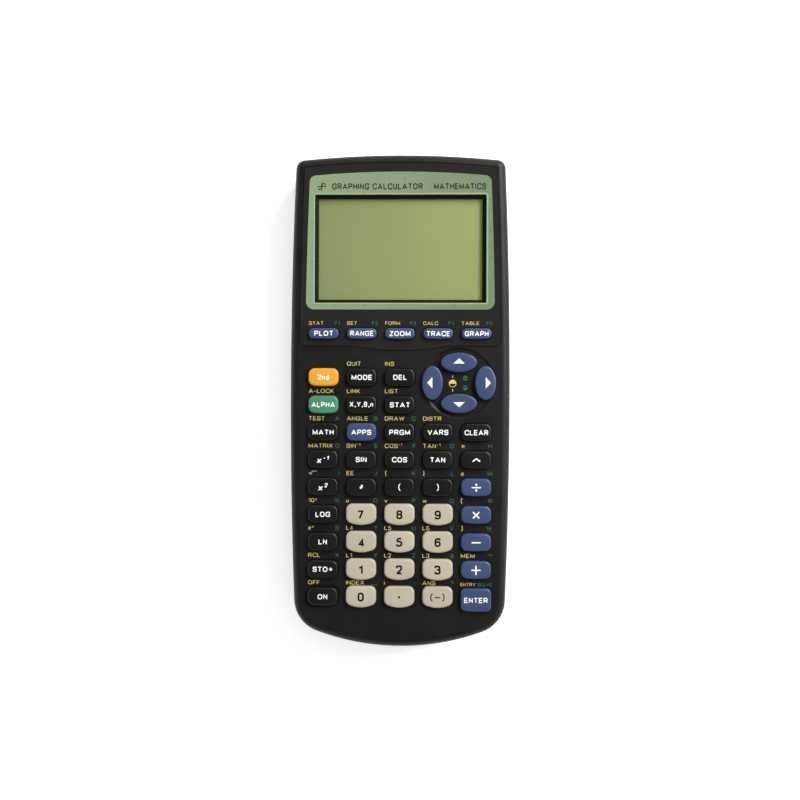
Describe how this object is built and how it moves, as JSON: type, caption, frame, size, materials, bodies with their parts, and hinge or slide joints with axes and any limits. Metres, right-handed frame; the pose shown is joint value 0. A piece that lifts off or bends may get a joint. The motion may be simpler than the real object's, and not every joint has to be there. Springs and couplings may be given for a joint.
{
  "type": "graphing calculator",
  "caption": "Hand-held graphing calculator lying on its back, with a recessed display, pressing keys on a dome sheet, a hinged battery door and a link jack.",
  "frame": {"origin": "on the table, under the middle of the case as it lies on its back", "axes": "+X to the user's right, +Y towards the display end, +Z out of the keys"},
  "size_m": [0.0826, 0.185, 0.0228],
  "materials": {
    "case_plastic": "fine matte texture, charcoal",
    "faceplate_gloss": "polished, near black, with a grey-green printed frame",
    "clear_window": "clear, slightly reflective",
    "display_glass": "grey-green liquid crystal",
    "membrane_rubber": "silicone rubber",
    "board_laminate": "green solder resist",
    "cell_cans": "printed cell cans",
    "screw_steel": "plated",
    "key_black": "satin black with white legends",
    "key_blue": "satin slate blue with white legends",
    "key_orange": "satin orange",
    "key_green": "satin green",
    "key_cream": "satin cream with black legends"
  },
  "bodies": {
    "case": {"front_case": "case_plastic", "faceplate": "faceplate_gloss", "display_window": "clear_window", "display_module": "display_glass", "keypad_membrane": "membrane_rubber", "main_board": "board_laminate", "rear_case": "case_plastic", "batteries": "cell_cans", "hardware": "screw_steel"},
    "battery_door": {"battery_door": "case_plastic"},
    "key_f1": {"key_f1": "key_blue"},
    "key_f2": {"key_f2": "key_blue"},
    "key_f3": {"key_f3": "key_blue"},
    "key_f4": {"key_f4": "key_blue"},
    "key_f5": {"key_f5": "key_blue"},
    "key_2nd": {"key_2nd": "key_orange"},
    "key_mode": {"key_mode": "key_black"},
    "key_delete": {"key_delete": "key_black"},
    "key_alpha": {"key_alpha": "key_green"},
    "key_variable": {"key_variable": "key_black"},
    "key_stat": {"key_stat": "key_black"},
    "key_math": {"key_math": "key_black"},
    "key_apps": {"key_apps": "key_blue"},
    "key_program": {"key_program": "key_black"},
    "key_vars": {"key_vars": "key_black"},
    "key_clear": {"key_clear": "key_black"},
    "key_reciprocal": {"key_reciprocal": "key_black"},
    "key_sin": {"key_sin": "key_black"},
    "key_cos": {"key_cos": "key_black"},
    "key_tan": {"key_tan": "key_black"},
    "key_power": {"key_power": "key_black"},
    "key_square": {"key_square": "key_black"},
    "key_comma": {"key_comma": "key_black"},
    "key_open_bracket": {"key_open_bracket": "key_black"},
    "key_close_bracket": {"key_close_bracket": "key_black"},
    "key_divide": {"key_divide": "key_blue"},
    "key_log": {"key_log": "key_black"},
    "key_7": {"key_7": "key_cream"},
    "key_8": {"key_8": "key_cream"},
    "key_9": {"key_9": "key_cream"},
    "key_multiply": {"key_multiply": "key_blue"},
    "key_ln": {"key_ln": "key_black"},
    "key_4": {"key_4": "key_cream"},
    "key_5": {"key_5": "key_cream"},
    "key_6": {"key_6": "key_cream"},
    "key_minus": {"key_minus": "key_blue"},
    "key_store": {"key_store": "key_black"},
    "key_1": {"key_1": "key_cream"},
    "key_2": {"key_2": "key_cream"},
    "key_3": {"key_3": "key_cream"},
    "key_plus": {"key_plus": "key_blue"},
    "key_on": {"key_on": "key_black"},
    "key_0": {"key_0": "key_cream"},
    "key_point": {"key_point": "key_cream"},
    "key_negate": {"key_negate": "key_cream"},
    "key_enter": {"key_enter": "key_blue"},
    "key_up": {"key_up": "key_blue"},
    "key_left": {"key_left": "key_blue"},
    "key_right": {"key_right": "key_blue"},
    "key_down": {"key_down": "key_blue"}
  },
  "joints": [
    {"name": "battery_door_hinge", "type": "hinge", "parent": "case", "child": "battery_door", "pos_m": [0, 0.0342, 0.0008], "axis": [-1, 0, 0], "range_deg": [0, 80]},
    {"name": "key_f1_press", "type": "slide", "parent": "case", "child": "key_f1", "axis": [0, 0, -1], "range_m": [0, 0.0012], "stiffness_N_per_m": 150, "springref_m": -0.001},
    {"name": "key_f2_press", "type": "slide", "parent": "case", "child": "key_f2", "axis": [0, 0, -1], "range_m": [0, 0.0012], "stiffness_N_per_m": 150, "springref_m": -0.001},
    {"name": "key_f3_press", "type": "slide", "parent": "case", "child": "key_f3", "axis": [0, 0, -1], "range_m": [0, 0.0012], "stiffness_N_per_m": 150, "springref_m": -0.001},
    {"name": "key_f4_press", "type": "slide", "parent": "case", "child": "key_f4", "axis": [0, 0, -1], "range_m": [0, 0.0012], "stiffness_N_per_m": 150, "springref_m": -0.001},
    {"name": "key_f5_press", "type": "slide", "parent": "case", "child": "key_f5", "axis": [0, 0, -1], "range_m": [0, 0.0012], "stiffness_N_per_m": 150, "springref_m": -0.001},
    {"name": "key_2nd_press", "type": "slide", "parent": "case", "child": "key_2nd", "axis": [0, 0, -1], "range_m": [0, 0.0012], "stiffness_N_per_m": 150, "springref_m": -0.001},
    {"name": "key_mode_press", "type": "slide", "parent": "case", "child": "key_mode", "axis": [0, 0, -1], "range_m": [0, 0.0012], "stiffness_N_per_m": 150, "springref_m": -0.001},
    {"name": "key_delete_press", "type": "slide", "parent": "case", "child": "key_delete", "axis": [0, 0, -1], "range_m": [0, 0.0012], "stiffness_N_per_m": 150, "springref_m": -0.001},
    {"name": "key_alpha_press", "type": "slide", "parent": "case", "child": "key_alpha", "axis": [0, 0, -1], "range_m": [0, 0.0012], "stiffness_N_per_m": 150, "springref_m": -0.001},
    {"name": "key_variable_press", "type": "slide", "parent": "case", "child": "key_variable", "axis": [0, 0, -1], "range_m": [0, 0.0012], "stiffness_N_per_m": 150, "springref_m": -0.001},
    {"name": "key_stat_press", "type": "slide", "parent": "case", "child": "key_stat", "axis": [0, 0, -1], "range_m": [0, 0.0012], "stiffness_N_per_m": 150, "springref_m": -0.001},
    {"name": "key_math_press", "type": "slide", "parent": "case", "child": "key_math", "axis": [0, 0, -1], "range_m": [0, 0.0012], "stiffness_N_per_m": 150, "springref_m": -0.001},
    {"name": "key_apps_press", "type": "slide", "parent": "case", "child": "key_apps", "axis": [0, 0, -1], "range_m": [0, 0.0012], "stiffness_N_per_m": 150, "springref_m": -0.001},
    {"name": "key_program_press", "type": "slide", "parent": "case", "child": "key_program", "axis": [0, 0, -1], "range_m": [0, 0.0012], "stiffness_N_per_m": 150, "springref_m": -0.001},
    {"name": "key_vars_press", "type": "slide", "parent": "case", "child": "key_vars", "axis": [0, 0, -1], "range_m": [0, 0.0012], "stiffness_N_per_m": 150, "springref_m": -0.001},
    {"name": "key_clear_press", "type": "slide", "parent": "case", "child": "key_clear", "axis": [0, 0, -1], "range_m": [0, 0.0012], "stiffness_N_per_m": 150, "springref_m": -0.001},
    {"name": "key_reciprocal_press", "type": "slide", "parent": "case", "child": "key_reciprocal", "axis": [0, 0, -1], "range_m": [0, 0.0012], "stiffness_N_per_m": 150, "springref_m": -0.001},
    {"name": "key_sin_press", "type": "slide", "parent": "case", "child": "key_sin", "axis": [0, 0, -1], "range_m": [0, 0.0012], "stiffness_N_per_m": 150, "springref_m": -0.001},
    {"name": "key_cos_press", "type": "slide", "parent": "case", "child": "key_cos", "axis": [0, 0, -1], "range_m": [0, 0.0012], "stiffness_N_per_m": 150, "springref_m": -0.001},
    {"name": "key_tan_press", "type": "slide", "parent": "case", "child": "key_tan", "axis": [0, 0, -1], "range_m": [0, 0.0012], "stiffness_N_per_m": 150, "springref_m": -0.001},
    {"name": "key_power_press", "type": "slide", "parent": "case", "child": "key_power", "axis": [0, 0, -1], "range_m": [0, 0.0012], "stiffness_N_per_m": 150, "springref_m": -0.001},
    {"name": "key_square_press", "type": "slide", "parent": "case", "child": "key_square", "axis": [0, 0, -1], "range_m": [0, 0.0012], "stiffness_N_per_m": 150, "springref_m": -0.001},
    {"name": "key_comma_press", "type": "slide", "parent": "case", "child": "key_comma", "axis": [0, 0, -1], "range_m": [0, 0.0012], "stiffness_N_per_m": 150, "springref_m": -0.001},
    {"name": "key_open_bracket_press", "type": "slide", "parent": "case", "child": "key_open_bracket", "axis": [0, 0, -1], "range_m": [0, 0.0012], "stiffness_N_per_m": 150, "springref_m": -0.001},
    {"name": "key_close_bracket_press", "type": "slide", "parent": "case", "child": "key_close_bracket", "axis": [0, 0, -1], "range_m": [0, 0.0012], "stiffness_N_per_m": 150, "springref_m": -0.001},
    {"name": "key_divide_press", "type": "slide", "parent": "case", "child": "key_divide", "axis": [0, 0, -1], "range_m": [0, 0.0012], "stiffness_N_per_m": 150, "springref_m": -0.001},
    {"name": "key_log_press", "type": "slide", "parent": "case", "child": "key_log", "axis": [0, 0, -1], "range_m": [0, 0.0012], "stiffness_N_per_m": 150, "springref_m": -0.001},
    {"name": "key_7_press", "type": "slide", "parent": "case", "child": "key_7", "axis": [0, 0, -1], "range_m": [0, 0.0012], "stiffness_N_per_m": 150, "springref_m": -0.001},
    {"name": "key_8_press", "type": "slide", "parent": "case", "child": "key_8", "axis": [0, 0, -1], "range_m": [0, 0.0012], "stiffness_N_per_m": 150, "springref_m": -0.001},
    {"name": "key_9_press", "type": "slide", "parent": "case", "child": "key_9", "axis": [0, 0, -1], "range_m": [0, 0.0012], "stiffness_N_per_m": 150, "springref_m": -0.001},
    {"name": "key_multiply_press", "type": "slide", "parent": "case", "child": "key_multiply", "axis": [0, 0, -1], "range_m": [0, 0.0012], "stiffness_N_per_m": 150, "springref_m": -0.001},
    {"name": "key_ln_press", "type": "slide", "parent": "case", "child": "key_ln", "axis": [0, 0, -1], "range_m": [0, 0.0012], "stiffness_N_per_m": 150, "springref_m": -0.001},
    {"name": "key_4_press", "type": "slide", "parent": "case", "child": "key_4", "axis": [0, 0, -1], "range_m": [0, 0.0012], "stiffness_N_per_m": 150, "springref_m": -0.001},
    {"name": "key_5_press", "type": "slide", "parent": "case", "child": "key_5", "axis": [0, 0, -1], "range_m": [0, 0.0012], "stiffness_N_per_m": 150, "springref_m": -0.001},
    {"name": "key_6_press", "type": "slide", "parent": "case", "child": "key_6", "axis": [0, 0, -1], "range_m": [0, 0.0012], "stiffness_N_per_m": 150, "springref_m": -0.001},
    {"name": "key_minus_press", "type": "slide", "parent": "case", "child": "key_minus", "axis": [0, 0, -1], "range_m": [0, 0.0012], "stiffness_N_per_m": 150, "springref_m": -0.001},
    {"name": "key_store_press", "type": "slide", "parent": "case", "child": "key_store", "axis": [0, 0, -1], "range_m": [0, 0.0012], "stiffness_N_per_m": 150, "springref_m": -0.001},
    {"name": "key_1_press", "type": "slide", "parent": "case", "child": "key_1", "axis": [0, 0, -1], "range_m": [0, 0.0012], "stiffness_N_per_m": 150, "springref_m": -0.001},
    {"name": "key_2_press", "type": "slide", "parent": "case", "child": "key_2", "axis": [0, 0, -1], "range_m": [0, 0.0012], "stiffness_N_per_m": 150, "springref_m": -0.001},
    {"name": "key_3_press", "type": "slide", "parent": "case", "child": "key_3", "axis": [0, 0, -1], "range_m": [0, 0.0012], "stiffness_N_per_m": 150, "springref_m": -0.001},
    {"name": "key_plus_press", "type": "slide", "parent": "case", "child": "key_plus", "axis": [0, 0, -1], "range_m": [0, 0.0012], "stiffness_N_per_m": 150, "springref_m": -0.001},
    {"name": "key_on_press", "type": "slide", "parent": "case", "child": "key_on", "axis": [0, 0, -1], "range_m": [0, 0.0012], "stiffness_N_per_m": 150, "springref_m": -0.001},
    {"name": "key_0_press", "type": "slide", "parent": "case", "child": "key_0", "axis": [0, 0, -1], "range_m": [0, 0.0012], "stiffness_N_per_m": 150, "springref_m": -0.001},
    {"name": "key_point_press", "type": "slide", "parent": "case", "child": "key_point", "axis": [0, 0, -1], "range_m": [0, 0.0012], "stiffness_N_per_m": 150, "springref_m": -0.001},
    {"name": "key_negate_press", "type": "slide", "parent": "case", "child": "key_negate", "axis": [0, 0, -1], "range_m": [0, 0.0012], "stiffness_N_per_m": 150, "springref_m": -0.001},
    {"name": "key_enter_press", "type": "slide", "parent": "case", "child": "key_enter", "axis": [0, 0, -1], "range_m": [0, 0.0012], "stiffness_N_per_m": 150, "springref_m": -0.001, "deforming": ["keypad_membrane"]},
    {"name": "key_up_press", "type": "slide", "parent": "case", "child": "key_up", "axis": [0, 0, -1], "range_m": [0, 0.0012], "stiffness_N_per_m": 150, "springref_m": -0.001},
    {"name": "key_left_press", "type": "slide", "parent": "case", "child": "key_left", "axis": [0, 0, -1], "range_m": [0, 0.0012], "stiffness_N_per_m": 150, "springref_m": -0.001},
    {"name": "key_right_press", "type": "slide", "parent": "case", "child": "key_right", "axis": [0, 0, -1], "range_m": [0, 0.0012], "stiffness_N_per_m": 150, "springref_m": -0.001},
    {"name": "key_down_press", "type": "slide", "parent": "case", "child": "key_down", "axis": [0, 0, -1], "range_m": [0, 0.0012], "stiffness_N_per_m": 150, "springref_m": -0.001}
  ]
}
